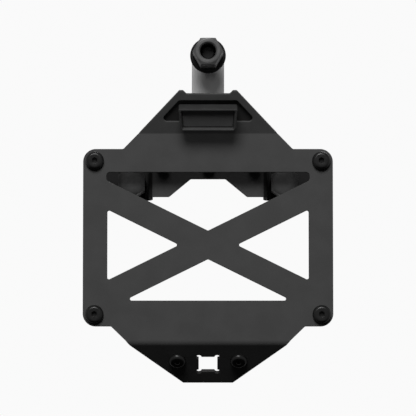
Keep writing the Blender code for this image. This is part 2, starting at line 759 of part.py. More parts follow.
def make_cable(looks, tongue, plate_back):
    """From inside the housing, out through the grommet, then down to the connector."""
    bpy.context.view_layer.update()
    to_world = tongue.matrix_world
    start = to_world @ Vector((0, CABLE_HEIGHT, 2 * MM))
    out = to_world @ Vector((0, CABLE_HEIGHT, plate_back - 4 * MM))
    ahead = (out - start).normalized() * 9 * MM
    run_top = Vector((0, -CABLE_RUN, 4 * MM))
    run_end = Vector((0, -CABLE_RUN, CONNECTOR_TOP - 4 * MM))
    points = [start, out]
    points += bezier(out, out + ahead, run_top + Vector((0, 0, 12 * MM)), run_top, 10)
    points.append(run_end)
    curve = bpy.data.curves.new("lamp_cable", "CURVE")
    curve.dimensions = "3D"
    curve.bevel_depth = CABLE_RADIUS
    curve.bevel_resolution = 2
    curve.use_fill_caps = True
    spline = curve.splines.new("POLY")
    spline.points.add(len(points) - 1)
    for point, at in zip(spline.points, points):
        point.co = (*at, 1)
    place("lamp_cable", curve, looks["rubber"])


def make_cable_end(looks):
    """The clip that holds the cable to the rear bracket, and the plug at its end."""
    sleeve = tube(CABLE_RADIUS + GAP, 4 * MM, -4 * MM, 4 * MM)
    tab_half = [(7 * MM, 4 * MM, CORNER), (7 * MM, -4 * MM, CORNER)]
    hole = ring(CLIP_SCREW_X - 7 * MM, 0, 2.3 * MM)
    tab = sheet("tab", rounded(mirrored(tab_half)), [hole], 1.9 * MM)
    tab_front = WEB_BACK + SHEET + GAP
    tab = moved(tab, (7 * MM, CABLE_RUN - tab_front, 0), math.pi / 2)
    clip = joined("cable_clip", sleeve, tab, "UNION")
    bore = turned("bore", rod(CABLE_RADIUS + GAP, -6 * MM, 6 * MM))
    clip = joined("cable_clip", clip, bore, "DIFFERENCE")
    place("cable_clip", clip, looks["clip"], None, (0, -CABLE_RUN, CLIP_HEIGHT))
    seat = frame("clip_seat", (CLIP_SCREW_X, -tab_front - 1.9 * MM - GAP, CLIP_HEIGHT), 0)
    screw = button_screw(3.8 * MM, 2.2 * MM, 2 * MM, 9.5 * MM, 2.5 * MM)
    place("clip_screw", screw, looks["screw"], seat)
    nut_seat = frame("clip_nut_seat", (CLIP_SCREW_X, -WEB_BACK + GAP, CLIP_HEIGHT), 0)
    place("clip_nut", hex_nut(7 * MM, 2.3 * MM, 3.2 * MM), looks["screw"], nut_seat)
    make_connector(looks)


def make_connector(looks):
    low = -CONNECTOR_LENGTH
    cable_way = CABLE_RADIUS + GAP
    body = turned(
        "connector_body",
        [
            (0, -5 * MM),
            (cable_way, -5 * MM),
            (cable_way, 0),
            (3.4 * MM, 0),
            (CONNECTOR_RADIUS, -1.5 * MM),
            (CONNECTOR_RADIUS, low + 0.6 * MM),
            (CONNECTOR_RADIUS - 0.6 * MM, low),
            (3.2 * MM, low),
            (3.2 * MM, low + 6.5 * MM),
            (0, low + 6.5 * MM),
        ],
    )
    top = (0, -CABLE_RUN, CONNECTOR_TOP)
    place("connector_body", body, looks["clip"], None, top)
    pin = turned("connector_pin", rod(0.5 * MM, low + 1 * MM, low + 6.2 * MM), 12)
    for hand, side in (("left", -1), ("right", 1)):
        at = (side * 1.3 * MM, -CABLE_RUN, CONNECTOR_TOP)
        place("connector_pin_" + hand, pin, looks["pin"], None, at)


clear_scene()
parts = new_collection(PARTS)
black_steel = material("black_powder_coat", (0.02, 0.02, 0.021), 0.55, 0.0)
flange_steel = material("silver_paint", (0.55, 0.56, 0.57), 0.45, 0.2)
black_nut = material("black_nut_finish", (0.02, 0.02, 0.02), 0.35, 0.6)
black_screw = material("black_screw_finish", (0.015, 0.015, 0.016), 0.4, 0.5)
zinc = material("zinc_plate", (0.55, 0.55, 0.56), 0.35, 1.0)
lamp_looks = {
    "housing": material("lamp_housing_plastic", (0.02, 0.02, 0.021), 0.4, 0.0),
    "lens": material("smoked_lens_plastic", (0.06, 0.06, 0.062), 0.15, 0.0),
    "board": material("circuit_board", (0.8, 0.82, 0.8), 0.5, 0.0),
    "reflector": material("lamp_reflector_finish", (0.6, 0.6, 0.62), 0.15, 1.0),
    "led": material("led_chip", (0.85, 0.8, 0.4), 0.3, 0.0),
    "rubber": material("black_rubber", (0.012, 0.012, 0.012), 0.75, 0.0),
    "plate": material("backplate_coat", (0.018, 0.018, 0.019), 0.5, 0.0),
    "screw": material("small_screw_finish", (0.5, 0.5, 0.51), 0.35, 1.0),
    "clip": material("black_nylon", (0.02, 0.02, 0.02), 0.5, 0.0),
    "pin": material("tinned_pin", (0.7, 0.68, 0.6), 0.25, 1.0),
}
make_face_plate(black_steel)
make_rear_bracket(black_steel)
make_stud_flange(flange_steel)
make_wheel_fixings(black_nut)
make_plate_fixings(black_screw)
make_camera_fixings(black_screw)
make_bracket_joints(zinc, black_nut)
make_lamp(lamp_looks)
make_cable_end(lamp_looks)
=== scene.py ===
"""Looks for the spare wheel carrier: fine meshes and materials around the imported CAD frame.

Pieces are drawn in millimetres in a sheet frame, x to the right, y up and z outwards, and
facing() carries them into the row frame, where -Y points outwards. Sizes follow the CAD's own.
"""

import json
import math

import bmesh
import bpy
from mathutils import Matrix, Vector

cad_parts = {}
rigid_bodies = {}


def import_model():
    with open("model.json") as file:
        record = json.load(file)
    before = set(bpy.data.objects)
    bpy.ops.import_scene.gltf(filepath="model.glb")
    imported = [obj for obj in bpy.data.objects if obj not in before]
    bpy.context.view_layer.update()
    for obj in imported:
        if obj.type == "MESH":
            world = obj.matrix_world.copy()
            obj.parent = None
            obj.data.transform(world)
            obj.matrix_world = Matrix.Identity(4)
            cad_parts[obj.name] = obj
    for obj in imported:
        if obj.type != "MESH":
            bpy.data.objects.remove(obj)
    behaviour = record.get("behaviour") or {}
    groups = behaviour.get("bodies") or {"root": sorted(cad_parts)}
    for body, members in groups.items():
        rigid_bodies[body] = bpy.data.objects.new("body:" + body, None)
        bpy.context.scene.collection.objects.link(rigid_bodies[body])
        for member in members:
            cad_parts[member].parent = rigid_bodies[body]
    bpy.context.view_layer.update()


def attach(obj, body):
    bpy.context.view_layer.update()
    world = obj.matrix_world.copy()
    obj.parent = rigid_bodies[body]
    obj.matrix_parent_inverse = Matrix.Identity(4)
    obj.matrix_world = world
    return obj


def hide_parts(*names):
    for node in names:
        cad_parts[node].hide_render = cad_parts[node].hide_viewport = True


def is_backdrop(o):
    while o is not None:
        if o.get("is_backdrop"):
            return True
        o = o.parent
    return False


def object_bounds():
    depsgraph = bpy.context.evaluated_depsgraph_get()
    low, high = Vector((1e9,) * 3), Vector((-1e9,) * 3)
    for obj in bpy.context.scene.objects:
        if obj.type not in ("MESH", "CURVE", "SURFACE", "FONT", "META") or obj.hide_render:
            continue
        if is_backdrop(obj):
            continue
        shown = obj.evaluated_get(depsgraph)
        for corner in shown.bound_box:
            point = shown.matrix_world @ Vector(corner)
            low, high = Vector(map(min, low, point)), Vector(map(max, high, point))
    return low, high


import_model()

MM = 0.001
TURN = 2 * math.pi
ARC_STEP = math.radians(6)
ARC_ERROR = 0.012
BEND_STEP = math.radians(4)
SMOOTH = math.radians(32)
WELD = 0.0005

SHEET = 3.0
BEND = 3.0
GAP = 0.3
EDGE = 0.35  # rounding of a cut sheet edge under its coat

STUDS = {"top": 90, "left": 210, "right": 330}
BOLT_RADIUS = 69.85
PLATE_FRONT = 70.0
WEB_BACK = 52.0
FLANGE = 8.0
WHEEL_PAD = 22.0


# Frames


def facing(x, out, z, tilt=0.0):
    """Millimetres right, outwards and up to the row frame, leaning outwards by tilt."""
    place = Matrix.Translation((x * MM, -out * MM, z * MM))
    return place @ Matrix.Rotation(math.pi / 2 + tilt, 4, "X") @ Matrix.Scale(MM, 4)


def past_fold(height, angle):
    """The sheet frame past a fold of the face plate, with z = 0 on its outer face."""
    radius = BEND + (0 if angle > 0 else SHEET)
    side = 1 if angle > 0 else -1
    along = radius * math.sin(abs(angle)) * side
    out = radius * (1 - math.cos(angle)) * side
    return facing(0, PLATE_FRONT + out, height + along, abs(angle))


def fold_end(height, angle):
    return height + angle * (BEND + SHEET / 2)


TONGUE_FOLD, TONGUE_ANGLE = 1.2, math.radians(25)
FLAP_FOLD, FLAP_ANGLE = -160.35, math.radians(-47)
TONGUE = past_fold(TONGUE_FOLD, TONGUE_ANGLE)
FLAP = past_fold(FLAP_FOLD, FLAP_ANGLE)
TONGUE_SHIFT = -fold_end(TONGUE_FOLD, TONGUE_ANGLE)
FLAP_SHIFT = -fold_end(FLAP_FOLD, FLAP_ANGLE)


# Outlines


def rounded(corners):
    """A closed outline through corners of (x, y, radius), with an arc of that radius at each."""
    points = []
    for i, (x, y, radius) in enumerate(corners):
        here = Vector((x, y))
        if radius == 0:
            points.append(here)
            continue
        before = (Vector(corners[i - 1][:2]) - here).normalized()
        after = (Vector(corners[(i + 1) % len(corners)][:2]) - here).normalized()
        half = before.angle(after) / 2
        centre = here + (before + after).normalized() * radius / math.sin(half)
        first = here + before * radius / math.tan(half) - centre
        last = here + after * radius / math.tan(half) - centre
        begin = math.atan2(first.y, first.x)
        sweep = math.remainder(math.atan2(last.y, last.x) - begin, TURN)
        step = min(ARC_STEP, 2 * math.acos(max(0, 1 - ARC_ERROR / radius)))
        steps = max(3, math.ceil(abs(sweep) / step))
        for k in range(steps + 1):
            angle = begin + sweep * k / steps
            points.append(centre + radius * Vector((math.cos(angle), math.sin(angle))))
    return points


def mirrored(half):
    return [*half, *[(-x, y, radius) for x, y, radius in reversed(half)]]


def ring(x, y, radius, steps=48):
    angles = [TURN * k / steps for k in range(steps)]
    return [Vector((x + radius * math.cos(a), y + radius * math.sin(a))) for a in angles]


def shifted(points, dy):
    return [Vector((p[0], p[1] + dy)) for p in points]


def relieved_port(middle, width, height, relief):
    """A nearly square port whose corners are cleared by small round reliefs."""
    points = []
    for k, (across, up) in enumerate(((1, 1), (-1, 1), (-1, -1), (1, -1))):
        outwards = math.pi / 4 + k * math.pi / 2
        corner = Vector((across * width / 2, up * height / 2))
        for step in range(-9, 10):
            angle = outwards + step * math.radians(132) / 9
            points.append(corner + relief * Vector((math.cos(angle), math.sin(angle))))
    return shifted(points, middle)


# Meshes


def evaluated(obj):
    bpy.context.view_layer.update()
    graph = bpy.context.evaluated_depsgraph_get()
    mesh = bpy.data.meshes.new_from_object(obj.evaluated_get(graph))
    bpy.data.objects.remove(obj, do_unlink=True)
    mesh.materials.clear()
    return mesh


def scratch(data):
    obj = bpy.data.objects.new("scratch", data)
    bpy.context.scene.collection.objects.link(obj)
    return obj


def sheet(outline, holes, thickness, back=0.0, edge=EDGE):
    """A flat piece with rounded edges, from z = back to z = back + thickness."""
    curve = bpy.data.curves.new("sheet", "CURVE")
    curve.dimensions = "2D"
    curve.fill_mode = "BOTH"
    curve.extrude = thickness / 2 - edge
    curve.bevel_depth = edge
    curve.bevel_resolution = 1
    curve.offset = -edge
    for loop in [outline, *holes]:
        spline = curve.splines.new("POLY")
        spline.points.add(len(loop) - 1)
        for point, (x, y) in zip(spline.points, loop):
            point.co = (x, y, 0, 1)
        spline.use_cyclic_u = True
    mesh = evaluated(scratch(curve))
    bm = bmesh.new()
    bm.from_mesh(mesh)
    bmesh.ops.remove_doubles(bm, verts=bm.verts, dist=WELD)
    bmesh.ops.translate(bm, verts=bm.verts, vec=(0, 0, back + thickness / 2))
    bmesh.ops.recalc_face_normals(bm, faces=bm.faces)
    bm.to_mesh(mesh)
    bm.free()
    return mesh


def fold(mesh, heading, start, angle):
    """Bends the sheet beyond start, measured along heading, outwards when angle is positive."""
    heading = Vector((*heading, 0))
    length = abs(angle) * (BEND + SHEET / 2)
    steps = round(abs(angle) / BEND_STEP)
    bm = bmesh.new()
    bm.from_mesh(mesh)
    for k in range(steps + 1):
        cut = heading * (start + length * k / steps)
        geometry = [*bm.verts, *bm.edges, *bm.faces]
        bmesh.ops.bisect_plane(bm, geom=geometry, dist=WELD, plane_co=cut, plane_no=heading)
    for vert in bm.verts:
        along = vert.co.dot(heading) - start
        if along <= 0:
            continue
        turned_by = min(along / length, 1) * abs(angle)
        beyond = max(along - length, 0)
        depth = vert.co.z if angle > 0 else SHEET - vert.co.z
        arm = BEND + SHEET - depth
        moved = arm * math.sin(turned_by) + beyond * math.cos(turned_by)
        raised = BEND + SHEET - arm * math.cos(turned_by) + beyond * math.sin(turned_by)
        vert.co += heading * (moved - along)
        vert.co.z = raised if angle > 0 else SHEET - raised
    bm.to_mesh(mesh)
    bm.free()
    return mesh


def polar(rings, steps=72):
    """A closed mesh about z, from rings of (radius, z) that run down its outer side.

    A radius or a z may be a function of the angle.
    """
    bm = bmesh.new()
    loops = []
    for radius, z in rings:
        if radius == 0:
            loops.append([bm.verts.new((0, 0, z))])
            continue
        loop = []
        for k in range(steps):
            angle = TURN * k / steps
            r = radius(angle) if callable(radius) else radius
            h = z(angle) if callable(z) else z
            loop.append(bm.verts.new((r * math.cos(angle), r * math.sin(angle), h)))
        loops.append(loop)
    pairs = list(zip(loops, loops[1:]))
    if len(loops[0]) > 1:
        pairs.append((loops[-1], loops[0]))
    for upper, lower in pairs:
        for k in range(steps):
            n = (k + 1) % steps
            if len(upper) == 1:
                bm.faces.new((upper[0], lower[k], lower[n]))
            elif len(lower) == 1:
                bm.faces.new((upper[k], lower[0], upper[n]))
            else:
                bm.faces.new((upper[k], lower[k], lower[n], upper[n]))
    mesh = bpy.data.meshes.new("polar")
    bm.to_mesh(mesh)
    bm.free()
    return mesh


def hex_radius(flats, turn=0.0):
    """A hexagon's radius by angle, with flats facing left and right before its turn."""
    sector = math.pi / 3
    return lambda angle: flats / 2 / math.cos((angle + turn + sector / 2) % sector - sector / 2)


def thread(radius, pitch, start, end, depth=None):
    """Rings of a right-handed thread cut in from radius, fading out over its end turns."""
    depth = 0.56 * pitch if depth is None else depth
    count = round(abs(start - end) / pitch * 6)
    rings = []
    for k in range(count + 1):
        z = start + (end - start) * k / count
        fade = min(1, abs(start - z) / pitch, abs(z - end) / pitch)

        def crest(angle, z=z, fade=fade):
            phase = (z / pitch - angle / TURN) % 1
            return radius - depth * fade * min(1, 1.25 * abs(2 * phase - 1))

        rings.append((crest, z))
    return rings


def joined(mesh, other, operation):
    first, second = scratch(mesh), scratch(other)
    boolean = first.modifiers.new("Join", "BOOLEAN")
    boolean.operation = operation
    boolean.object = second
    result = evaluated(first)
    bpy.data.objects.remove(second, do_unlink=True)
    return result


def put(name, mesh, matrix, look, body, stands_for):
    """Makes the piece, moves its mesh into the row frame and rides it on its body."""
    mesh = mesh.copy()
    mesh.transform(matrix)
    mesh.materials.append(look)
    mesh.shade_smooth()
    mesh.set_sharp_from_angle(angle=SMOOTH)
    piece = bpy.data.objects.new(name, mesh)
    bpy.context.scene.collection.objects.link(piece)
    weighted = piece.modifiers.new("Weighted normals", "WEIGHTED_NORMAL")
    weighted.keep_sharp = True
    weighted.weight = 100
    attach(piece, body)
    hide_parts(stands_for)
    return piece


def recoat(piece, mesh, look, chosen):
    """Gives a second look to the faces whose centres, before placing, are chosen."""
    piece.data.materials.append(look)
    for face, drawn in zip(piece.data.polygons, mesh.polygons):
        if chosen(drawn.center):
            face.material_index = 1


def paint_hollow_shade(piece, mesh, radius):
    """Paints shade on the faces of a turned piece nearer its axis than radius, so its bore or
    socket reads as a dark hollow.
    """
    recoat(piece, mesh, HOLLOW_SHADE, lambda at: math.hypot(at.x, at.y) < radius)


# Materials


class Tree:
    """A short way to write a node tree round one Principled shader."""

    def __init__(self, name):
        self.material = bpy.data.materials.new(name)
        self.material.use_nodes = True
        self.nodes = self.material.node_tree.nodes
        self.links = self.material.node_tree.links
        self.shader = self.nodes["Principled BSDF"]

    def add(self, kind, inputs=None, **settings):
        node = self.nodes.new("ShaderNode" + kind)
        for key, value in settings.items():
            setattr(node, key, value)
        for key, value in (inputs or {}).items():
            self.feed(node, key, value)
        return node

    def feed(self, node, key, value):
        if isinstance(value, bpy.types.NodeSocket):
            self.links.new(value, node.inputs[key])
        else:
            node.inputs[key].default_value = value

    def noise(self, scale, detail=2.0, stretch=(1, 1, 1)):
        """Noise with features of about 1 / scale metres, from 0 to 1."""
        where = self.add("TexCoord").outputs["Object"]
        turned = self.add("Mapping", {"Vector": where, "Scale": stretch}).outputs["Vector"]
        inputs = {"Vector": turned, "Scale": scale, "Detail": detail}
        return self.add("TexNoise", inputs).outputs["Fac"]

    def between(self, factor, low, high, a=0.35, b=0.65):
        """Values from a to b of a factor spread over low to high."""
        inputs = {"Value": factor, "From Min": a, "From Max": b, "To Min": low, "To Max": high}
        return self.add("MapRange", inputs).outputs["Result"]

    def mix(self, factor, first, second):
        node = self.add("Mix", data_type="RGBA")
        self.feed(node, 0, factor)
        self.feed(node, 6, first)
        self.feed(node, 7, second)
        return node.outputs[2]

    def edges(self, width):
        """1 on edges rounder than width, 0 on flats."""
        soft = self.add("Bevel", {"Radius": width}, samples=6).outputs["Normal"]
        true = self.add("NewGeometry").outputs["True Normal"]
        dot = self.add("VectorMath", {0: soft, 1: true}, operation="DOT_PRODUCT").outputs["Value"]
        return self.between(dot, 1, 0, 0.72, 0.98)

    def set(self, **inputs):
        for key, value in inputs.items():
            self.feed(self.shader, key.replace("_", " "), value)

    def bump(self, height, depth, strength=1.0, over=None):
        inputs = {"Height": height, "Distance": depth, "Strength": strength}
        if over is not None:
            inputs["Normal"] = over
        normal = self.add("Bump", inputs).outputs["Normal"]
        self.set(Normal=normal)
        return normal


def grey(value, warm=0.0):
    return (value * (1 + warm), value, value * (1 - warm), 1)


def powder_coat(name, shade, grain=1500, depth=0.00005, roughness=(0.66, 0.78)):
    """Fine-textured powder coat: orange peel over pinhead grain, paler where edges wear."""
    tree = Tree(name)
    cloud = tree.noise(55, 3)
    speck = tree.noise(grain, 2)
    body = tree.mix(tree.between(cloud, 0, 1), grey(shade * 0.93), grey(shade * 1.07))
    body = tree.mix(tree.between(speck, 0, 0.22, 0.55, 0.75), body, grey(shade * 1.9))
    paler_edges = tree.mix(tree.edges(0.0005), body, grey(shade * 1.35))
    tree.set(Base_Color=paler_edges, Roughness=tree.between(cloud, *roughness))
    tree.set(Specular_IOR_Level=0.08)
    peel = tree.bump(tree.noise(330, 1), depth * 1.2, 0.5)
    tree.bump(speck, depth, 0.6, peel)
    return tree.material


def silver_paint(name, shade):
    """Silver-grey paint: fine flakes under a satin coat, a little thinner on the edges."""
    tree = Tree(name)
    cloud = tree.noise(40, 3)
    flake = tree.noise(2600, 1)
    body = tree.mix(tree.between(cloud, 0, 1), grey(shade * 0.94), grey(shade * 1.04))
    body = tree.mix(tree.between(flake, 0, 0.5, 0.5, 0.7), body, grey(shade * 1.3))
    edge = tree.mix(tree.edges(0.0006), body, grey(shade * 0.8))
    tree.set(Base_Color=edge, Metallic=0.35, Roughness=tree.between(flake, 0.34, 0.46))
    tree.bump(tree.noise(300, 2), 0.00004, 0.5)
    return tree.material


def black_metal(name, shade, metallic, sheen, roughness, stretch=(1, 1, 1)):
    """Black oxide or coated steel, with fine turning marks and rubbed edges; the dark inside its
    bores and sockets is painted shade from a second look.
    """
    tree = Tree(name)
    marks = tree.noise(420, 4, stretch)
    cloud = tree.noise(120, 3)
    body = tree.mix(tree.between(cloud, 0, 1), grey(shade * 0.8), grey(shade * 1.2))
    paler_edges = tree.mix(tree.between(tree.edges(0.0004), 0, 0.6, 0, 1), body, grey(shade * 3.2, 0.02))
    rough = tree.between(marks, *roughness)
    tree.set(Base_Color=paler_edges, Metallic=metallic, Roughness=rough, Specular_IOR_Level=sheen)
    tree.bump(marks, 0.00002, 0.5)
    return tree.material


def zinc_plate(name, shade=0.6):
    """Bright zinc under a clear chromate: a faint blue and straw tint and a soft grain."""
    tree = Tree(name)
    tint = tree.noise(90, 2)
    grain = tree.noise(900, 3)
    cool = (shade * 0.9, shade * 0.97, shade * 1.08, 1)
    straw = (shade * 1.08, shade * 1.0, shade * 0.82, 1)
    body = tree.mix(tree.between(tint, 0, 1, 0.3, 0.7), cool, straw)
    tree.set(Base_Color=body, Metallic=1.0, Roughness=tree.between(grain, 0.24, 0.42))
    tree.bump(grain, 0.00001, 0.5)
    return tree.material


def moulded(name, shade, roughness, grain=2200, depth=0.00003, paler_edges=1.7):
    """Moulded plastic with an eroded mould's fine texture."""
    tree = Tree(name)
    where = tree.add("TexCoord").outputs["Object"]
    pits = tree.add("TexVoronoi", {"Vector": where, "Scale": grain}, feature="SMOOTH_F1")
    cloud = tree.noise(150, 3)
    body = tree.mix(tree.between(cloud, 0, 1), grey(shade * 0.9), grey(shade * 1.1))
    # Edges paler by the factor: rubbed wear at small factors; at large ones, as on the lamp, a
    # painted highlight.
    edge = tree.mix(tree.between(tree.edges(0.0004), 0, 0.7, 0, 1), body, grey(shade * paler_edges))
    tree.set(Base_Color=edge, Roughness=tree.between(cloud, roughness * 0.9, roughness * 1.1))
    tree.set(Specular_IOR_Level=0.2)
    tree.bump(pits.outputs["Distance"], depth, 0.5)
    return tree.material


def rubber(name, shade):
    tree = Tree(name)
    bloom = tree.noise(70, 4)
    body = tree.mix(tree.between(bloom, 0, 1), grey(shade * 0.8), grey(shade * 1.4, 0.03))
    tree.set(Base_Color=body, Roughness=tree.between(bloom, 0.68, 0.86), Specular_IOR_Level=0.3)
    tree.bump(tree.noise(1900, 2), 0.00003, 0.6)
    return tree.material


def smoked_lens(name):
    """Smoked polycarbonate that lets a little of the reflector through."""
    tree = Tree(name)
    flow = tree.noise(200, 2)
    tree.set(Base_Color=tree.mix(flow, grey(0.07), grey(0.085)))
    tree.set(Roughness=tree.between(flow, 0.16, 0.24))
    tree.set(Specular_IOR_Level=0.15, Transmission_Weight=0.1)
    tree.bump(tree.noise(700, 1), 0.00001, 0.3)
    return tree.material


def circuit_board(name):
    """White solder mask over glass weave, with the copper's outline just showing through."""
    tree = Tree(name)
    where = tree.add("TexCoord").outputs["Object"]
    inputs = {"Vector": where, "Scale": 160, "Mortar Size": 0.04}
    traces = tree.add("TexBrick", inputs).outputs["Fac"]
    tree.set(Base_Color=tree.mix(traces, (0.75, 0.77, 0.74, 1), (0.6, 0.64, 0.58, 1)))
    tree.set(Roughness=tree.between(tree.noise(500), 0.35, 0.5))
    tree.bump(traces, 0.00003, 0.6)
    return tree.material


def led_phosphor(name):
    tree = Tree(name)
    grain = tree.noise(2500, 3)
    tree.set(Base_Color=tree.mix(grain, (0.8, 0.62, 0.12, 1), (0.95, 0.84, 0.38, 1)))
    tree.set(Roughness=tree.between(grain, 0.2, 0.35), Coat_Weight=0.4)
    return tree.material


def plated(name, colour, roughness):
    """Bright plating or vacuum metal with a faint ripple."""
    tree = Tree(name)
    ripple = tree.noise(300, 2)
    pale = tuple(min(1, c * 1.12) for c in colour)
    tree.set(Base_Color=tree.mix(ripple, (*colour, 1), (*pale, 1)), Metallic=1.0)
    tree.set(Roughness=tree.between(ripple, roughness, roughness * 1.6))
    tree.bump(ripple, 0.00002, 0.4)
    return tree.material


COAT = powder_coat("powder coat", 0.06)
# A darker copy of the coat: painted shade for the rear bracket's feet.
COAT_PAINTED_SHADE = powder_coat("powder coat with painted shade", 0.012)
FLANGE_PAINT = silver_paint("silver paint", 0.5)
NUT_BLACK = black_metal("nut black", 0.1, 0.15, 0.4, (0.34, 0.5), (1, 0.15, 1))
NUT_CAP = black_metal("nut cap black", 0.06, 0.1, 0.3, (0.4, 0.55))
# Near-black washers; on the top one this black is also painted shade of the wheel's lug recess.
WASHER_BLACK_AND_SHADE = black_metal("washer black and painted shade", 0.006, 0.0, 0.15, (0.42, 0.55))
STUD_BLACK = black_metal("stud black", 0.01, 0.1, 0.2, (0.4, 0.55), (1, 6, 1))
SCREW_BLACK = black_metal("screw black", 0.01, 0.0, 0.25, (0.22, 0.34))
# Painted shade for the insides of bores and sockets.
HOLLOW_SHADE = rubber("hollow", 0.004)
SPACER_BLACK = black_metal("spacer black", 0.03, 0.5, 0.5, (0.34, 0.5), (1, 6, 1))
ZINC = zinc_plate("zinc plate")
# The lamp plastic's edges, eight times paler than its body, are a painted highlight on the housing
# and bezel rims.
LAMP_BLACK = moulded("lamp plastic", 0.035, 0.5, paler_edges=8)
NYLON = moulded("black nylon", 0.028, 0.5, 1500)
RUBBER = rubber("black rubber", 0.012)
LENS = smoked_lens("smoked lens")
BOARD = circuit_board("circuit board")
PHOSPHOR = led_phosphor("led phosphor")
REFLECTOR = plated("reflector", (0.6, 0.6, 0.62), 0.12)
TIN = plated("tin plate", (0.72, 0.69, 0.6), 0.2)


# Face plate


ROOT_X, ROOT = 54.4, 2.2
TIP_X, TIP = 22.5, 37.6
NOTCH_X, NOTCH = 17.0, 2.6
EAR_X, EAR_HIGH, EAR_LOW = 98.0, -10.3, -149.7
CROSS = -85.8
BAR = 11.2
SLOPE = 0.495
SIDE_X = 78.9
TOP_X, TOP_HIGH = 79.8, -28.5
BOTTOM_LOW = -129.5
SHOULDER_X, SHOULDER_LOW_X = 66.6, 75.9
FLAP_ROOT = (63.2, -162)
FLAP_TIP = (19.6, -205.1)
TONGUE_WINDOW_HIGH, TONGUE_WINDOW_LOW = 29.9, 12.2
TONGUE_RIM = 5
PLATE_HOLE, CAMERA_SCREW_HOLE = 3.3, 2.8  # radii
PLATE_HOLE_X, PLATE_MIDDLE, PLATE_HOLE_RISE = 88.9, -80.0, 60.325
PORT_MIDDLE, PORT_WIDTH, PORT_HEIGHT, PORT_RELIEF = -184.6, 14.4, 15.8, 2.1
WINDOW_CORNER = 1.4
CAMERA_HOLE_X, CAMERA_HOLE = 24.1, -179.6


def windows():
    side = SLOPE * SIDE_X - BAR
    corners = ((BAR / SLOPE, 0), (SIDE_X, side), (SIDE_X, -side))
    right = [(x, CROSS + y, WINDOW_CORNER) for x, y in corners]
    left = [(-x, y, radius) for x, y, radius in right]
    shoulder = CROSS + SLOPE * TOP_X + BAR
    top = mirrored([(TOP_X, TOP_HIGH, 3), (TOP_X, shoulder, 3)])
    top.insert(2, (0, CROSS + BAR, WINDOW_CORNER))
    foot = (CROSS - BAR - BOTTOM_LOW) / SLOPE
    corners = ((0, CROSS - BAR), (foot, BOTTOM_LOW), (-foot, BOTTOM_LOW))
    bottom = [(x, y, WINDOW_CORNER) for x, y in corners]
    return [rounded(outline) for outline in (right, left, top, bottom)]


def tongue_window(grow, corner):
    run, rise = ROOT_X - TIP_X, TIP - ROOT
    rim = (TONGUE_RIM - grow) * math.hypot(run, rise) / rise
    corners = []
    for height in (TONGUE_WINDOW_HIGH + grow, TONGUE_WINDOW_LOW - grow):
        corners.append((ROOT_X - (height - ROOT) * run / rise - rim, height, corner))
    return rounded(mirrored(corners))


def plate_outline():
    half = [
        (NOTCH_X, TIP - NOTCH, 1),
        (NOTCH_X + NOTCH, TIP, 0.5),
        (TIP_X, TIP, 1),
        (ROOT_X, ROOT, 0),
        (SHOULDER_X, EAR_HIGH, 2),
        (EAR_X, EAR_HIGH, 10),
        (EAR_X, EAR_LOW, 10),
        (SHOULDER_LOW_X, EAR_LOW, 2),
        (*FLAP_ROOT, 0),
        (*FLAP_TIP, 1),
    ]
    return rounded(mirrored(half))


def make_face_plate():
    holes = windows()
    holes.append(tongue_window(0, 3))
    holes.append(relieved_port(PORT_MIDDLE, PORT_WIDTH, PORT_HEIGHT, PORT_RELIEF))
    for side in (-1, 1):
        holes.append(ring(side * CAMERA_HOLE_X, CAMERA_HOLE, CAMERA_SCREW_HOLE))
        for rise in (-PLATE_HOLE_RISE, PLATE_HOLE_RISE):
            holes.append(ring(side * PLATE_HOLE_X, PLATE_MIDDLE + rise, PLATE_HOLE))
    mesh = sheet(plate_outline(), holes, SHEET)
    fold(mesh, (0, 1), TONGUE_FOLD, TONGUE_ANGLE)
    fold(mesh, (0, -1), -FLAP_FOLD, FLAP_ANGLE)
    matrix = facing(0, PLATE_FRONT - SHEET, 0)
    put("face_plate_sheet", mesh, matrix, COAT, "carrier", "face_plate")


# Rear bracket


WEB_HALF = 41
WALL_DEPTH = 21
FOOT_HALF, FOOT_REACH = 13.5, 21.5
WEB_LOW, WEB_STEP_X, WEB_NOTCH = -46.7, 30.8, (13.7, -32.6)
JOINT_X, JOINT_HEIGHTS = 36, {"upper": -5, "lower": -21}
JOINT_HOLE, STUD_HOLE, CLIP_HOLE = 2.8, 6.6, 2.3  # radii
CLIP_X, CLIP_HEIGHT = 9, -6


def make_rear_bracket():
    """A hat section: a web, two walls folded back and two feet under the lower nuts.

    The feet carry painted shade, a darker copy of the coat, so they read as the deep shade at the
    ends of the top window.
    """
    quarter = math.pi / 2 * (BEND + SHEET / 2)
    wall_end = WEB_HALF + quarter + WALL_DEPTH
    angle = math.radians(STUDS["right"])
    hole_x, hole_z = BOLT_RADIUS * math.cos(angle), BOLT_RADIUS * math.sin(angle)
    hole = wall_end + quarter + hole_x - WEB_HALF - 2 * BEND - SHEET
    end = hole + FOOT_REACH
    half = [
        (WEB_HALF - 2, 0, 4),
        (WEB_HALF, hole_z + FOOT_HALF, 4),
        (end, hole_z + FOOT_HALF, 9),
        (end, hole_z - FOOT_HALF, 9),
        (wall_end, WEB_LOW, 0),
        (WEB_STEP_X, WEB_LOW, 2),
        (*WEB_NOTCH, 2),
    ]
    heights = JOINT_HEIGHTS.values()
    holes = [ring(x, y, JOINT_HOLE) for x in (-JOINT_X, JOINT_X) for y in heights]
    holes += [ring(side * hole, hole_z, STUD_HOLE) for side in (-1, 1)]
    holes.append(ring(CLIP_X, CLIP_HEIGHT, CLIP_HOLE))
    mesh = sheet(rounded(mirrored(half)), holes, SHEET)
    for side in (-1, 1):
        fold(mesh, (side, 0), wall_end, math.pi / 2)
        fold(mesh, (side, 0), WEB_HALF, -math.pi / 2)
    matrix = facing(0, WEB_BACK, 0)
    piece = put("rear_bracket_sheet", mesh, matrix, COAT, "carrier", "rear_bracket")
    # Painted shade on the feet.
    recoat(piece, mesh, COAT_PAINTED_SHADE, lambda at: abs(at.x) > WEB_HALF + BEND)


# Stud flange, studs, nuts


def stud_places():
    for name, degrees in STUDS.items():
        angle = math.radians(degrees)
        yield name, angle, Vector((math.cos(angle), math.sin(angle)))


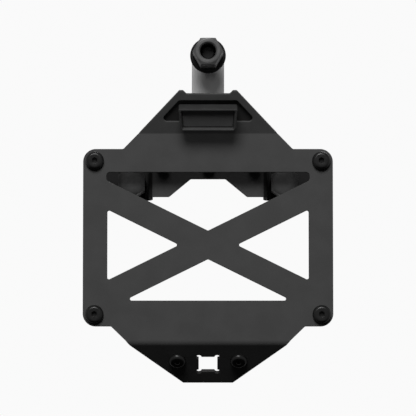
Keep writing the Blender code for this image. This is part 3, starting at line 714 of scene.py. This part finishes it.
def make_stud_flange():
    lobe, waist = 13.0, 50.0
    corners, holes = [], []
    for _, angle, out in stud_places():
        across = Vector((-out.y, out.x)) * lobe
        for side in (-1, 1):
            corners.append((*(out * (BOLT_RADIUS + lobe) + across * side), 0.99 * lobe))
        bisector = angle + math.pi / 3
        reach = lobe / math.sin(math.pi / 3)
        corners.append((reach * math.cos(bisector), reach * math.sin(bisector), waist))
        holes.append(ring(*(out * BOLT_RADIUS), 6.3, 64))
        holes.append(ring(*(out * 30), 5.25))
    mesh = sheet(rounded(corners), holes, FLANGE, 0, 0.8)
    matrix = facing(0, -FLANGE, 0)
    put("stud_flange_plate", mesh, matrix, FLANGE_PAINT, "carrier", "stud_flange")


def stud_mesh():
    """A pressed-in stud: dished head, splines under it, then an M12 thread."""
    tip = 41.0 + FLANGE + GAP

    def spline(angle):
        return 6.0 - 0.18 * (1 + math.cos(24 * angle)) / 2

    rings = [(0, tip), (4.5, tip), (4.9, tip - 0.25)]
    rings += thread(6.0, 1.5, tip - 1.1, 9.6)
    rings += [(5.3, 9.2), (5.3, 8.6), (spline, 8.1), (spline, 1.2), (5.6, 0.9), (5.6, 0)]
    rings += [(9.1, 0), (9.5, -0.4), (9.5, -3.0), (8.7, -3.8), (8.2, -4.0)]
    rings += [(6.0, -4.0), (5.0, -3.4), (0, -3.2)]
    return polar(rings)


def lug_nut_mesh(closed):
    """A chamfered hexagon nut with a washer face, bored through or closed by a low dome."""
    side = hex_radius(21.0, 0 if closed else TURN / 12)
    face, bore, top = 9.7, 6.3, 27.0

    def drop(angle):
        return (side(angle) - face) * math.tan(math.pi / 6)

    if closed:
        shoulder = top - 1.2
        rings = [(0, top), (2.6, top - 0.04), (5.4, top - 0.2), (7.8, top - 0.55)]
        rings += [(9.1, top - 0.9), (face, shoulder)]
        rings += [(side, lambda a: shoulder - drop(a)), (side, drop)]
    else:
        rings = [(bore + 1.1, top - 0.05), (bore + 1.3, top), (face - 0.3, top), (face, top - 0.1)]
        rings += [(side, lambda a: top - drop(a)), (side, drop)]
    rings += [(face, 0), (bore + 0.9, 0), (bore + 0.1, 0.8)]
    if closed:
        return polar([*rings, *thread(bore, 1.5, 1.0, 15.0, -0.6), (4.9, 16.4), (0, 16.5)])
    return polar([*rings, *thread(bore, 1.5, 1.0, top - 1.2, -0.6), (bore + 0.1, top - 1.0)])


def nut_washer_mesh(radius):
    rings = [(7.0, 2.7), (radius - 1.1, 2.7), (radius - 0.75, 2.5), (radius, 1.3), (radius, 0.4)]
    rings += [(radius - 0.4, 0), (7.0, 0), (6.6, 0.4), (6.6, 2.3)]
    return polar(rings, 96)


def make_wheel_fixings():
    stud = stud_mesh()
    for name, _, out in stud_places():
        x, z = out * BOLT_RADIUS
        top = name == "top"
        foot = WHEEL_PAD + (0 if top else SHEET)
        matrix = facing(x, -FLANGE - GAP, z)
        put(f"stud_{name}", stud, matrix, STUD_BLACK, "carrier", f"wheel_stud_{name}")
        matrix = facing(x, foot + GAP, z)
        # The top washer is wider than the others, so its near-black ring also paints the shade of
        # the lug recess.
        washer = nut_washer_mesh(14.3 if top else 11.4)
        node = f"nut_washer_{name}"
        put(f"washer_{name}", washer, matrix, WASHER_BLACK_AND_SHADE, f"washer_{name}", node)
        matrix = facing(x, foot + 2 * GAP + 2.7, z)
        nut = lug_nut_mesh(not top)
        look = NUT_BLACK if top else NUT_CAP
        piece = put(f"nut_{name}", nut, matrix, look, f"nut_{name}", f"lug_nut_{name}")
        if top:
            # Painted shade inside the top nut's bore.
            paint_hollow_shade(piece, nut, 6.5)


# Screws and nuts


def button_screw(radius, height, shank, pitch, length, drive):
    """A button screw with a dished head, a chamfered hex socket and a threaded shank."""
    socket = hex_radius(drive)
    floor = height * 0.42
    rings = [(0, floor - 0.25), (drive * 0.3, floor), (socket, floor), (socket, height - 0.3)]
    rings.append((drive * 0.64, height))
    for k in range(13):
        angle = math.pi / 2 * (1 - k / 12)
        along = 0.62 * radius + 0.38 * radius * math.cos(angle)
        rings.append((along, height * (0.14 + 0.86 * math.sin(angle))))
    rings += [(radius, 0.12), (radius - 0.12, 0), (shank, 0)]
    rings += thread(shank, pitch, -0.4, 0.9 - length)
    rings += [(shank - 0.9, -length), (0, -length)]
    return polar(rings, 60)


def hex_nut(flats, bore, height):
    """A hexagon nut chamfered on both faces, with its outer face at z = 0."""
    side, face = hex_radius(flats), flats * 0.475

    def drop(angle):
        return (side(angle) - face) * math.tan(math.pi / 6)

    rings = [(bore + 0.45, 0), (face, 0), (side, lambda a: -drop(a))]
    rings += [(side, lambda a: drop(a) - height), (face, -height), (bore + 0.45, -height)]
    rings += [(bore, 0.45 - height), (bore, -0.45)]
    return polar(rings, 60)


def flange_nut():
    """A flanged lock nut with its nylon ring's rolled collar, seated at z = 0."""
    side = hex_radius(8)
    bore = 2.8
    rings = [(5.2, 0), (5.6, -0.35), (5.6, -0.7), (4.9, -1.15), (side, -1.2), (side, -3.2)]
    rings += [(3.75, -3.55), (3.6, -3.9), (3.3, -4.0), (bore + 0.2, -3.8)]
    rings += [(bore, -3.4), (bore, -0.3), (bore + 0.3, 0)]
    return polar(rings, 60)


def make_plate_fixings():
    screw = button_screw(7.25, 4.2, 3, 1.0, 13, 4)
    nut = hex_nut(10, 3.3, 5)
    for upper, rise in (("upper", PLATE_HOLE_RISE), ("lower", -PLATE_HOLE_RISE)):
        for hand, side in (("left", -1), ("right", 1)):
            end = f"{upper}_{hand}"
            x, z = side * PLATE_HOLE_X, PLATE_MIDDLE + rise
            matrix = facing(x, PLATE_FRONT + GAP, z)
            node = f"plate_screw_{end}"
            piece = put(f"screw_{end}", screw, matrix, SCREW_BLACK, "carrier", node)
            # Painted shade in the screw's socket.
            paint_hollow_shade(piece, screw, 2.3)
            matrix = facing(x, PLATE_FRONT - SHEET - GAP, z)
            node = f"plate_nut_{end}"
            put(f"nut_{end}", nut, matrix, SCREW_BLACK, "carrier", node)


def make_camera_fixings():
    screw = button_screw(6.6, 3.4, 2.5, 0.8, 11, 3)
    nut = hex_nut(8, 2.8, 4)
    for hand, side in (("left", -1), ("right", 1)):
        x, y = side * CAMERA_HOLE_X, CAMERA_HOLE + FLAP_SHIFT
        for kind, mesh, z in (("screw", screw, GAP), ("nut", nut, -SHEET - GAP)):
            matrix = FLAP @ Matrix.Translation((x, y, z))
            node = f"camera_{kind}_{hand}"
            put(f"port_{kind}_{hand}", mesh, matrix, SCREW_BLACK, "carrier", node)


def make_bracket_joints():
    rings = [(0, 0), (2.5, 0), *thread(2.5, 0.8, -0.6, -19.3), (1.8, -20), (0, -20)]
    stud = polar(rings, 48)
    length = PLATE_FRONT - 2 * SHEET - WEB_BACK - 2 * GAP
    rings = [(3.2, 0), (4.7, 0), (5, -0.3), (5, 0.3 - length), (4.7, -length)]
    rings += [(3.2, -length), (2.8, 0.4 - length), (2.8, -0.4)]
    spacer = polar(rings, 60)
    nut = flange_nut()
    inside = PLATE_FRONT - SHEET - GAP
    kinds = (
        ("weld_stud", stud, ZINC, "zinc", inside),
        ("spacer", spacer, SPACER_BLACK, "black_nut", inside),
        ("lock_nut", nut, ZINC, "zinc", WEB_BACK - GAP),
    )
    for upper, z in JOINT_HEIGHTS.items():
        for hand, side in (("left", -1), ("right", 1)):
            for kind, mesh, look, slot, out in kinds:
                node = f"{kind}_{upper}_{hand}"
                matrix = facing(side * JOINT_X, out, z)
                put(node + "_fine", mesh, matrix, look, "carrier", node)


# Lamp


HALF, LOW, HIGH = 23.0, 5.6, 23.7
LAMP_FRONT = 13.3
WALL = 2.3
LAMP_MIDDLE = 15.0
LAMP_SCREW_X = 10
LED_X = (-12, 0, 12)
LENS_BACK = 7.6
PRISM_PITCH = 2.2


def lamp_outline(inset):
    half = [
        (HALF - inset, HIGH - inset, 1.2),
        (HALF - inset - 1.2, LOW + inset, max(3.6 - inset, 1)),
    ]
    return rounded(mirrored(half))


def cylinder(radius, low, high, x=0.0, y=0.0):
    mesh = polar([(0, high), (radius, high), (radius, low), (0, low)], 48)
    mesh.transform(Matrix.Translation((x, y, 0)))
    return mesh


def flared(outline, back, front, scale):
    """A cutter that widens from its back to its front by the scale in x and y."""
    cutter = sheet(outline, [], front - back, back, 0.02)
    middle = sum(p[1] for p in outline) / len(outline)
    for vert in cutter.vertices:
        if vert.co.z > (back + front) / 2:
            vert.co.x *= scale[0]
            vert.co.y = middle + (vert.co.y - middle) * scale[1]
    return cutter


def make_housing():
    """A tub open outwards, with a chamfered bezel, and a boss through the tongue's opening."""
    tub = sheet(lamp_outline(0), [], LAMP_FRONT - GAP, GAP, 0.5)
    step = flared(lamp_outline(WALL), LAMP_FRONT - 1.6, LAMP_FRONT + 0.4, (1.065, 1.2))
    hollow = sheet(lamp_outline(WALL), [], LAMP_FRONT + 1, 3, 0.2)
    boss_outline = rounded(mirrored([(15, 21, 2), (15, 10.5, 2)]))
    boss = sheet(boss_outline, [], SHEET + 1, GAP - SHEET, 0.3)
    housing = joined(joined(tub, hollow, "DIFFERENCE"), step, "DIFFERENCE")
    housing = joined(housing, boss, "UNION")
    housing = joined(housing, cylinder(2.3, -5, 5, 0, LAMP_MIDDLE), "DIFFERENCE")
    for x in (-LAMP_SCREW_X, LAMP_SCREW_X):
        housing = joined(housing, cylinder(1.8, -5, 1.8, x, LAMP_MIDDLE), "DIFFERENCE")
    put("lamp_case", housing, TONGUE, LAMP_BLACK, "carrier", "lamp_housing")


def make_lens():
    """A lens whose inner face carries upright prisms, under a smooth outer face."""
    plain = sheet(lamp_outline(WALL + GAP), [], 2.0, LENS_BACK, 0.3)
    for k in range(-8, 9):
        groove = cylinder(0.55, -20, 20)
        place = Matrix.Translation((k * PRISM_PITCH, LAMP_MIDDLE, LENS_BACK))
        groove.transform(place @ Matrix.Rotation(math.pi / 2, 4, "X"))
        plain = joined(plain, groove, "DIFFERENCE")
    put("lamp_window", plain, TONGUE, LENS, "carrier", "lamp_lens")


def make_lamp_inside():
    inner = WALL + GAP
    wire_holes = [ring(x, LAMP_MIDDLE - 3.5, 0.4) for x in (-1.3, 1.3)]
    board = sheet(lamp_outline(inner), wire_holes, 1.4, 3.3, 0.08)
    put("lamp_pcb", board, TONGUE, BOARD, "carrier", "lamp_board")
    back = 5.0
    wall = sheet(lamp_outline(inner), [lamp_outline(inner + 1.2)], 7.3 - back, back, 0.15)
    put("lamp_mirror", wall, TONGUE, REFLECTOR, "carrier", "lamp_reflector")
    chip = rounded(mirrored([(1.8, 1.4, 0.2), (1.8, -1.4, 0.2)]))
    body = sheet(chip, [], 0.8, back, 0.08)
    dome_rings = [(0, 1.0), (0.7, 0.97), (1.05, 0.85), (1.15, 0.6), (0, 0.6)]
    dome = polar([(radius, back + z) for radius, z in dome_rings], 32)
    led = joined(body, dome, "UNION")
    for k, x in enumerate(LED_X):
        matrix = TONGUE @ Matrix.Translation((x, LAMP_MIDDLE, 0))
        put(f"lamp_chip_{k + 1}", led, matrix, PHOSPHOR, "carrier", f"lamp_led_{k + 1}")


def make_lamp_back():
    cover = shifted(tongue_window(3, 3), TONGUE_SHIFT)
    holes = [ring(0, LAMP_MIDDLE, 4.5)]
    holes += [ring(x, LAMP_MIDDLE, 1.8) for x in (-LAMP_SCREW_X, LAMP_SCREW_X)]
    gasket_back = -SHEET - GAP - 1
    gasket = sheet(cover, holes, 1, gasket_back, 0.25)
    put("lamp_seal", gasket, TONGUE, RUBBER, "carrier", "lamp_gasket")
    back = gasket_back - GAP - 1.5
    plate = sheet(cover, holes, 1.5, back, 0.3)
    put("lamp_cover", plate, TONGUE, COAT, "carrier", "lamp_backplate")
    seat = back - GAP
    rings = [(0, 1.2 - back), (1.2, 1.2 - back), *thread(1.5, 0.5, 0.8 - back, 0.3), (1.5, 0)]
    rings += [(2.8, 0), (2.8, -0.9), (2.5, -1.5), (1.9, -1.9), (1.5, -2.0)]
    rings += [(hex_radius(2), -2.0), (hex_radius(2), -1.0), (0, -0.9)]
    screw = polar(rings, 48)
    for hand, x in (("left", -LAMP_SCREW_X), ("right", LAMP_SCREW_X)):
        matrix = TONGUE @ Matrix.Translation((x, LAMP_MIDDLE, seat))
        put(f"cover_screw_{hand}", screw, matrix, ZINC, "carrier", f"lamp_screw_{hand}")
    rings = [(2.4, -3.3), (4.0, -3.3), (4.2, -3.5), (4.2, seat), (5.4, seat), (5.6, seat - 0.2)]
    rings += [(5.6, seat - 0.9), (5.1, seat - 1.3), (3.3, seat - 2.6), (3.1, seat - 3.2)]
    rings += [(2.3, seat - 3.2), (2.3, -3.4)]
    matrix = TONGUE @ Matrix.Translation((0, LAMP_MIDDLE, 0))
    put("grommet", polar(rings, 60), matrix, RUBBER, "carrier", "cable_grommet")
    return back


# Cable and its end


RUN = 60.0
PLUG_TOP = -11.5


def bezier(a, b, c, d, steps):
    for k in range(1, steps + 1):
        t = k / steps
        s = 1 - t
        yield a * s**3 + b * 3 * s * s * t + c * 3 * s * t * t + d * t**3


def make_cable(back):
    start = TONGUE @ Vector((0, LAMP_MIDDLE, 2))
    out = TONGUE @ Vector((0, LAMP_MIDDLE, back - 4))
    ahead = (out - start).normalized() * 9 * MM
    top = Vector((0, -RUN * MM, 4 * MM))
    end = Vector((0, -RUN * MM, (PLUG_TOP - 4) * MM))
    points = [start, out, *bezier(out, out + ahead, top + Vector((0, 0, 12 * MM)), top, 28), end]
    curve = bpy.data.curves.new("cable", "CURVE")
    curve.dimensions = "3D"
    curve.bevel_depth = 2 * MM
    curve.bevel_resolution = 6
    curve.use_fill_caps = True
    spline = curve.splines.new("POLY")
    spline.points.add(len(points) - 1)
    for point, at in zip(spline.points, points):
        point.co = (*at, 1)
    put("cable", evaluated(scratch(curve)), Matrix(), RUBBER, "carrier", "lamp_cable")


def make_cable_end():
    rings = [(2.5, 4), (3.7, 4), (4, 3.7), (4, -3.7), (3.7, -4), (2.5, -4), (2.3, -3.8), (2.3, 3.8)]
    sleeve = polar(rings, 60)
    tab_front = WEB_BACK + SHEET + GAP
    tab = sheet(rounded(mirrored([(7, 4, 2), (7, -4, 2)])), [ring(2, 0, 2.3)], 1.9, 0, 0.3)
    place = Matrix.Translation((7, RUN - tab_front, 0))
    tab.transform(place @ Matrix.Rotation(math.pi / 2, 4, "X"))
    clip = joined(joined(sleeve, tab, "UNION"), cylinder(2.3, -6, 6), "DIFFERENCE")
    upright = Matrix.Translation((0, -RUN * MM, CLIP_HEIGHT * MM)) @ Matrix.Scale(MM, 4)
    put("clip", clip, upright, NYLON, "carrier", "cable_clip")
    screw = button_screw(3.8, 2.2, 2, 0.7, 9.5, 2.5)
    matrix = facing(CLIP_X, tab_front + 1.9 + GAP, CLIP_HEIGHT)
    put("clip_bolt", screw, matrix, ZINC, "carrier", "clip_screw")
    matrix = facing(CLIP_X, WEB_BACK - GAP, CLIP_HEIGHT)
    nut = hex_nut(7, 2.3, 3.2)
    put("clip_back_nut", nut, matrix, ZINC, "carrier", "clip_nut")


def make_connector():
    """A two-pin plug: ribbed grip, latch groove and an open socket at the bottom."""
    low = -14.5

    def ribbed(angle):
        return 4.5 - 0.2 * (1 + math.cos(18 * angle)) / 2

    rings = [(0, -5), (2.3, -5), (2.3, -0.2), (2.5, 0), (3.2, 0), (3.6, -0.3), (4.3, -1.4)]
    rings += [(ribbed, -1.9), (ribbed, -8.2), (4.5, -8.6), (4.5, -9.4), (4.1, -9.7), (4.1, -10.5)]
    rings += [(4.5, -10.8), (4.5, low + 0.4), (4.2, low), (3.5, low), (3.2, low + 0.3)]
    rings += [(3.2, low + 6.5), (0, low + 6.5)]
    place = Matrix.Translation((0, -RUN * MM, PLUG_TOP * MM)) @ Matrix.Scale(MM, 4)
    put("plug", polar(rings), place, NYLON, "carrier", "connector_body")
    pin_low, pin_high = low + 1, low + 6.2
    rings = [(0, pin_high), (0.5, pin_high), (0.5, pin_low + 0.5), (0.42, pin_low + 0.15)]
    rings += [(0.25, pin_low), (0, pin_low)]
    pin = polar(rings, 24)
    for hand, x in (("left", -1.3), ("right", 1.3)):
        matrix = place @ Matrix.Translation((x, 0, 0))
        put(f"pin_{hand}", pin, matrix, TIN, "carrier", f"connector_pin_{hand}")


# Stage


FILL = 0.03
REFLECTION = 0.5
BACKDROP = 0.955
KEY_DIRECTION, KEY_POWER, PAST_POWER = (-0.12, -1, 0.84), 133, 32
BACK_DIRECTION, BACK_POWER = (0.2, 1, 0.7), 26
FLOOR_RADIUS, FLOOR_DROP = 3, 0.35


def make_world():
    """A white studio for the camera and for reflections, dark underfoot, with little fill."""
    world = bpy.data.worlds.new("studio")
    bpy.context.scene.world = world
    world.use_nodes = True
    nodes, links = world.node_tree.nodes, world.node_tree.links
    nodes.clear()
    where = nodes.new("ShaderNodeTexCoord")
    split = nodes.new("ShaderNodeSeparateXYZ")
    height = nodes.new("ShaderNodeMapRange")
    ramp = nodes.new("ShaderNodeValToRGB")
    path, out = nodes.new("ShaderNodeLightPath"), nodes.new("ShaderNodeOutputWorld")
    height.inputs["From Min"].default_value = -1
    stops = ((0, 0), (0.06, 0), (0.2, 0.5), (0.4, 0.8), (0.65, 0.9), (1, 0.5))
    while len(ramp.color_ramp.elements) < len(stops):
        ramp.color_ramp.elements.new(0.5)
    for element, (position, level) in zip(ramp.color_ramp.elements, stops):
        element.position = position
        element.color = grey(level)
    links.new(where.outputs["Generated"], split.inputs[0])
    links.new(split.outputs["Z"], height.inputs["Value"])
    links.new(height.outputs["Result"], ramp.inputs["Fac"])
    dim, mirrored_room, white = (nodes.new("ShaderNodeBackground") for _ in range(3))
    links.new(ramp.outputs["Color"], dim.inputs["Color"])
    links.new(ramp.outputs["Color"], mirrored_room.inputs["Color"])
    dim.inputs["Strength"].default_value = FILL
    mirrored_room.inputs["Strength"].default_value = REFLECTION
    white.inputs["Color"].default_value = grey(BACKDROP)
    seen = dim.outputs[0]
    for ray, background in (("Is Glossy Ray", mirrored_room), ("Is Camera Ray", white)):
        mix = nodes.new("ShaderNodeMixShader")
        links.new(path.outputs[ray], mix.inputs[0])
        links.new(seen, mix.inputs[1])
        links.new(background.outputs[0], mix.inputs[2])
        seen = mix.outputs[0]
    links.new(seen, out.inputs["Surface"])


def area_light(name, direction, distance, size, power, middle):
    data = bpy.data.lights.new(name, "AREA")
    data.shape = "DISK"
    data.size = size
    data.energy = power
    lamp = bpy.data.objects.new(name, data)
    bpy.context.scene.collection.objects.link(lamp)
    towards = Vector(direction).normalized()
    lamp.location = middle + towards * distance
    lamp.rotation_euler = towards.to_track_quat("Z", "Y").to_euler()
    return lamp


def linked(name, pieces, state):
    """A light linking group that includes or excludes the pieces."""
    group = bpy.data.collections.new(name)
    for piece in pieces:
        group.objects.link(piece)
    for item in group.collection_objects:
        item.light_linking.link_state = state
    return group


def make_stage():
    """A key from above, a weaker one that the lamp and plate don't shade, a back light, a floor."""
    low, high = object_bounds()
    middle = (low + high) / 2
    area_light("key", KEY_DIRECTION, 4.0, 2.2, KEY_POWER, middle)
    past = area_light("key past the plate", KEY_DIRECTION, 4.0, 1.6, PAST_POWER, middle)
    pieces = bpy.data.objects
    shades = [piece for piece in pieces if piece.name.startswith("lamp_")]
    shades.append(pieces["face_plate_sheet"])
    blockers = linked("lamp and plate", shades, "EXCLUDE")
    names = ("face_plate_sheet", "rear_bracket_sheet", "nut_left", "nut_right")
    receivers = linked("plate and bracket", [pieces[name] for name in names], "INCLUDE")
    past.light_linking.blocker_collection = blockers
    past.light_linking.receiver_collection = receivers
    area_light("back", BACK_DIRECTION, 3.0, 1.6, BACK_POWER, middle)
    bpy.ops.mesh.primitive_circle_add(vertices=96, radius=FLOOR_RADIUS, fill_type="NGON")
    floor = bpy.context.object
    floor.name = "floor"
    floor.location = (0, 0, low.z - FLOOR_DROP)
    floor.visible_diffuse = False
    floor.visible_glossy = False
    floor.visible_shadow = False
    tree = Tree("pale floor")
    speck = tree.noise(30, 3)
    tree.set(Base_Color=tree.mix(speck, grey(0.8), grey(0.84)), Roughness=0.7)
    floor.data.materials.append(tree.material)
    floor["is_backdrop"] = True
    make_world()
    return middle


def make_camera(middle):
    """A long lens, straight in front and about five degrees below the object."""
    data = bpy.data.cameras.new("camera")
    distance, frame_height, drop = 2.6, 0.33, math.radians(5)
    data.sensor_width = 36
    data.lens = data.sensor_width * distance / frame_height
    data.clip_end = 50
    camera = bpy.data.objects.new("camera", data)
    bpy.context.scene.collection.objects.link(camera)
    back = Vector((0, -math.cos(drop), -math.sin(drop)))
    camera.location = middle + back * distance
    camera.rotation_euler = back.to_track_quat("Z", "Y").to_euler()
    bpy.context.scene.camera = camera


make_face_plate()
make_rear_bracket()
make_stud_flange()
make_wheel_fixings()
make_plate_fixings()
make_camera_fixings()
make_bracket_joints()
make_housing()
make_lens()
make_lamp_inside()
make_cable(make_lamp_back())
make_cable_end()
make_connector()
make_camera(make_stage())
bpy.context.scene.view_settings.view_transform = "Standard"
